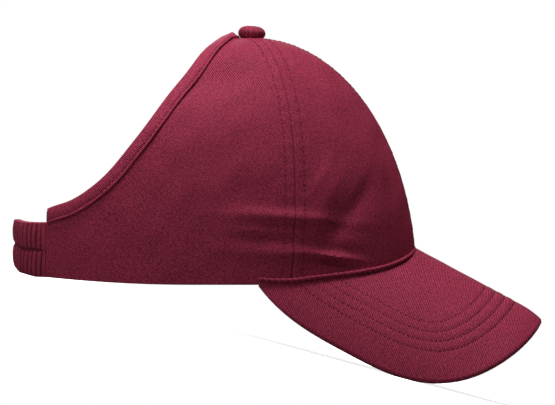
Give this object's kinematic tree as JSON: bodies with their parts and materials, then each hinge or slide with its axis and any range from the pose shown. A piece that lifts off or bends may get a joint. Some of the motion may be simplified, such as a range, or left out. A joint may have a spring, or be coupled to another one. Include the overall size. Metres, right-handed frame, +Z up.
{
  "type": "ponytail baseball cap",
  "caption": "Twill baseball cap with an arched peak, a covered top button and a large bound back opening over a gathered elastic band.",
  "frame": {"origin": "middle of the cap's outline on the surface it rests on", "axes": "+X forward along the peak, +Y to the wearer's left, +Z up; the cap stands nose up as it rests by itself"},
  "size_m": [0.2676, 0.1626, 0.1498],
  "materials": {
    "panel_twill": "burgundy cotton twill",
    "peak_twill": "burgundy cotton twill over a stiff board",
    "binding_twill": "burgundy twill tape, folded and stitched",
    "gathered_twill": "burgundy twill gathered over elastic",
    "button_twill": "burgundy twill stretched over a button"
  },
  "bodies": {
    "root": {"front_panel_left": "panel_twill", "front_panel_right": "panel_twill", "side_panel_left": "panel_twill", "side_panel_right": "panel_twill", "top_button": "button_twill", "opening_binding": "binding_twill", "back_elastic": "gathered_twill", "peak": "peak_twill", "peak_welt": "binding_twill"}
  },
  "joints": []
}
